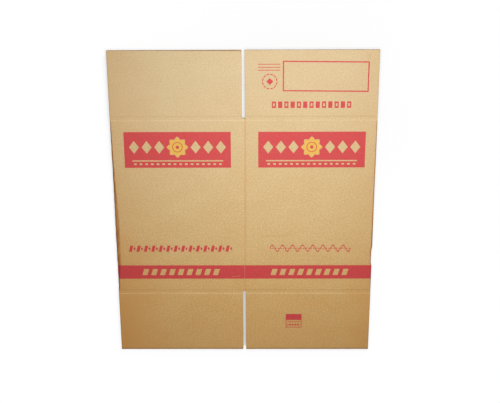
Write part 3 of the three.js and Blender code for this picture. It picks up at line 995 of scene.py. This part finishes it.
class Flap:  # one flap's columns and rows, the lie of its outer face, and the shells of its board
    def __init__(self, s, layer, end, side):
        self.s = s
        self.front = layer == "front"
        self.outward = 1 if end == "top" else -1
        self.across = 1 if side == "right" else -1
        steps = s["seedSteps"]
        self.seed = s["seed"] + steps["front"] * self.front
        self.seed += steps["outward"] * self.outward + steps["across"] * self.across
        self.width = carton["outerSide"] - carton["slotSide"]
        edge = np.array(s["edgeColumns"])
        inside = (s["innerColumns"], self.width - s["innerColumns"])
        columns = np.linspace(*inside, round(self.width / s["spacing"]))
        self.fromSlot = np.concatenate((edge, columns, self.width - edge[::-1]))
        self.ends = self.freeEnd((layer, end, side) == ("front", "top", "left"))
        toEdge = np.minimum(self.fromSlot, self.width - self.fromSlot)
        self.pinch = s["pinch"] * np.clip(1 - toEdge / s["pinchWidth"], 0, 1) ** s["pinchCurve"]

    def freeEnd(self, trimmed):  # the flap's length in each column
        s = self.s
        worn = s["endWear"] * s["endWearMean"]
        for share, length, turn in s["endWaves"]:
            worn = worn + s["endWear"] * share * np.sin(self.fromSlot / length + turn * self.seed)
        if trimmed:
            radius = s["cornerRadius"]
            corner = np.clip(radius - self.fromSlot, 0, radius)
            worn = worn + s["trim"] * (1 - self.fromSlot / self.width)
            worn = worn + radius - np.sqrt(radius * radius - corner * corner)
        return carton["flapLength"] - worn

    def rows(self, start, stop):  # distances from the crease, close together where it bends
        half = carton["creaseHalf"]
        ramp = [half - carton["creaseRamp"] * share for share in (1, 2 / 3, 1 / 3, 0)]
        near, far = [half + past for past in self.s["rowsPastCrease"]]
        length = carton["flapLength"]
        fine = [-row for row in reversed(ramp)] + list(self.s["creaseRows"]) + ramp + [near]
        coarse = list(np.linspace(far, length, round(length / self.s["spacing"])))
        chosen = [start] + [row for row in fine + coarse if start < row < stop] + [stop]
        return np.array(chosen)[:, None] + 0 * self.fromSlot[None, :]

    def level(self, along):  # the outer face under its flat plane
        start, length = self.s["sagFades"]
        x = self.across * (carton["slotSide"] + self.fromSlot)
        own = np.clip((along - start) / length, 0, 1)
        wallSag = sleeveSettings["sag"], sleeveSettings["phases"]["front"]
        hollow = sag(x, along, self.s["sag"], self.seed) * own
        hollow = hollow + sag(x, self.outward * carton["crease"], *wallSag) * (1 - own)
        return creaseDip(along, carton["creaseDepth"]) + hollow + self.pinch

    def points(self, fromSlot, along, under):
        x = self.across * (carton["slotSide"] + fromSlot) + 0 * along
        y = self.outward * (carton["crease"] + along)
        z = carton["pack"] - under if self.front else under
        return np.stack((x, y, z), -1)

    def grid(self, along, under):
        start = self.s["stretchFrom"]
        stretch = (self.ends - start) / (carton["flapLength"] - start) - 1
        along = along + np.where(along > start, (along - start) * stretch, 0)
        return self.points(self.fromSlot, along, under)

    def liners(self):
        s = self.s
        board = carton["board"]
        liner = carton["liner"]
        half = carton["creaseHalf"]
        length = carton["flapLength"]
        whole = self.rows(-half, length)
        top = self.level(whole)
        outer = sheet(self.grid(whole, top), self.grid(whole, top + liner - s["creaseThin"] * (whole < 0)))
        lift = np.where(whole < 0, 0, self.pinch * s["pinchInner"])
        innerTop = board - lift + s["innerPress"] * np.clip(1 - whole / s["pressLength"], 0, 1)
        innerFaces = (innerFace, innerFace)
        inner = sheet(self.grid(whole, innerTop), self.grid(whole, innerTop - liner), faces=innerFaces)
        root = self.rows(0.0, half + s["crushedPast"])
        rootUnder = board - liner - self.pinch * s["pinchInner"] + 0 * root
        paper = (paperFace, paperFace)
        crushed = sheet(self.grid(root, self.level(root) + liner), self.grid(root, rootUnder), faces=paper)
        inside = self.rows(fluteSettings["rootGap"], length - s["middleSetIn"])
        bow = self.level(inside) * s["middleBow"]
        middleTop, middleUnder = s["middleLiner"]
        middle = sheet(self.grid(inside, middleTop + bow), self.grid(inside, middleUnder + bow), faces=paper)
        return [outer, inner, crushed, middle]

    def flutes(self, kind):
        f = fluteSettings
        length = carton["flapLength"]
        reach = length - f["rootGap"] - f["setIn"]
        sizes = {"Width": self.width - 2 * f["sideGap"], "Length": reach, **f[kind], **f["both"]}
        points, quads = fluteShell(sizes)
        fromSlot = points[:, 0] + f["sideGap"]
        along = points[:, 1] + f["rootGap"]
        atEnd = points[:, 1] > reach / 2
        along = np.where(atEnd, along * np.interp(fromSlot, self.fromSlot, self.ends) / length, along)
        place = self.points(fromSlot, along, points[:, 2])
        return place, quads, [paperFace] * len(quads), np.zeros(len(points))


def makeFlap(s, layer, end, side):
    flap = Flap(s, layer, end, side)
    shells = flap.liners() + [flap.flutes("fine"), flap.flutes("coarse")]
    body = f"{layer}_{end}_{side}"
    printed = {"front_top_right": ["print_frame"], "front_bottom_right": ["print_mark"]}
    nodes = [f"{layer}_{end}_flap_{side}"] + printed.get(body, [])
    piece = makePiece(f"{layer}{end.title()}Flap{side.title()}", shells, nodes)
    middle = flap.width / 2
    inner = flap.points(middle, -carton["creaseHalf"], 0) * mm
    outer = flap.points(middle, carton["creaseHalf"], 0) * mm
    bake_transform(piece)


for layer in ("front", "back"):
    for end in ("top", "bottom"):
        for side in ("left", "right"):
            makeFlap(flapSettings, layer, end, side)
print("flaps made")


# Floor and light. White shows only to the camera; the floor still takes the carton's shadow.
stageSettings = {
    "floorHalf": 9000.0,
    "floorAlbedo": 0.32,
    "white": 1.02,  # a little over full white, so that noise doesn't show
    # painted shade on the floor in the bottom slot
    "slotDepth": 25.0,
    "slotShade": (0.3, 0.5),
    "slotGrey": 0.5,
    "slotFrom": (-290.0, -310.0),
    "ambient": 0.14,
    "lampSize": 800.0,
    "lamps": (
        {"name": "overhead", "place": (140, 326, 1178), "aim": (100, 166, 0), "power": 12.5},
        {"name": "headSide", "place": (500, 2000, 900), "aim": (0, 200, 0), "power": 17.4},
        {"name": "footSide", "place": (-450, -1900, 650), "aim": (0, -450, 0), "power": 4.0},
    ),
}


# What a lamp adds to a white floor where nothing shades it, as a share of full white.
def lampOnFloor(x, y, lamp):
    place = Vector(lamp["place"]) * mm
    aim = (Vector(lamp["aim"]) * mm - place).normalized()
    dx = x - place.x
    dy = y - place.y
    square = dx * dx + dy * dy + place.z ** 2
    facing = dx * aim.x + dy * aim.y - place.z * aim.z
    return facing.orElse(0.0) * (lamp["power"] * place.z / math.pi ** 2) / (square * square)


# The floor glows by as much as its light falls short of white, so only shadows show on it.
def makePaleFloor(s):
    sh = Shader("paleFloor")
    seen = sh.out(sh.add("ShaderNodeLightPath"), "Is Camera Ray")
    x, y, z = sh.apart(sh.out(sh.add("ShaderNodeTexCoord"), "Object"))
    light = s["ambient"]
    for lamp in s["lamps"]:
        light = lampOnFloor(x, y, lamp) + light
    albedo = s["floorAlbedo"]
    short = (s["white"] - light * albedo).clip()
    # painted shade: the floor in the narrow, deep bottom slot is darkened where ambient occlusion finds it
    # closed in
    openness = sh.out(sh.add("ShaderNodeAmbientOcclusion", {}, {"Distance": s["slotDepth"] * mm}), "AO")
    start, end = s["slotFrom"]
    shut = (1 - sh.ramp(openness, *s["slotShade"])) * sh.fade(y, start * mm, end * mm, s["slotGrey"])
    white = sh.shade((1, 1, 1), seen * short * (1 - shut))
    matt = sh.made("ShaderNodeBsdfDiffuse", {}, {"Color": (albedo, albedo, albedo, 1)})
    glow = sh.made("ShaderNodeEmission", {}, {"Color": white, "Strength": 1.0})
    both = sh.made("ShaderNodeAddShader", {}, {0: matt, 1: glow})
    sh.add("ShaderNodeOutputMaterial", {}, {"Surface": both})
    return sh.material


def makeFloor(s):
    half = s["floorHalf"] * mm
    mesh = bpy.data.meshes.new("floor")
    around = [(-half, -half, 0), (half, -half, 0), (half, half, 0), (-half, half, 0)]
    mesh.from_pydata(around, [], [(0, 1, 2, 3)])
    mesh.materials.append(makePaleFloor(s))
    floor = bpy.data.objects.new("floor", mesh)
    scene.collection.objects.link(floor)


def makeStudio(s):
    world = bpy.data.worlds.new("studio")
    world.use_nodes = True
    scene.world = world
    graph = Graph(world.node_tree)
    seen = graph.out(graph.add("ShaderNodeLightPath"), "Is Camera Ray")
    strength = seen * (1 - s["ambient"]) + s["ambient"]
    sky = graph.made("ShaderNodeBackground", {}, {"Color": (1, 1, 1, 1), "Strength": strength})
    graph.add("ShaderNodeOutputWorld", {}, {"Surface": sky})
    for lamp in s["lamps"]:
        data = bpy.data.lights.new(lamp["name"], "AREA")
        data.size = s["lampSize"] * mm
        data.energy = lamp["power"]
        light = bpy.data.objects.new(lamp["name"], data)
        place = Vector(lamp["place"]) * mm
        light.location = place
        light.rotation_euler = (Vector(lamp["aim"]) * mm - place).to_track_quat("-Z", "Y").to_euler()
        scene.collection.objects.link(light)


makeFloor(stageSettings)
makeStudio(stageSettings)
print("stage set")
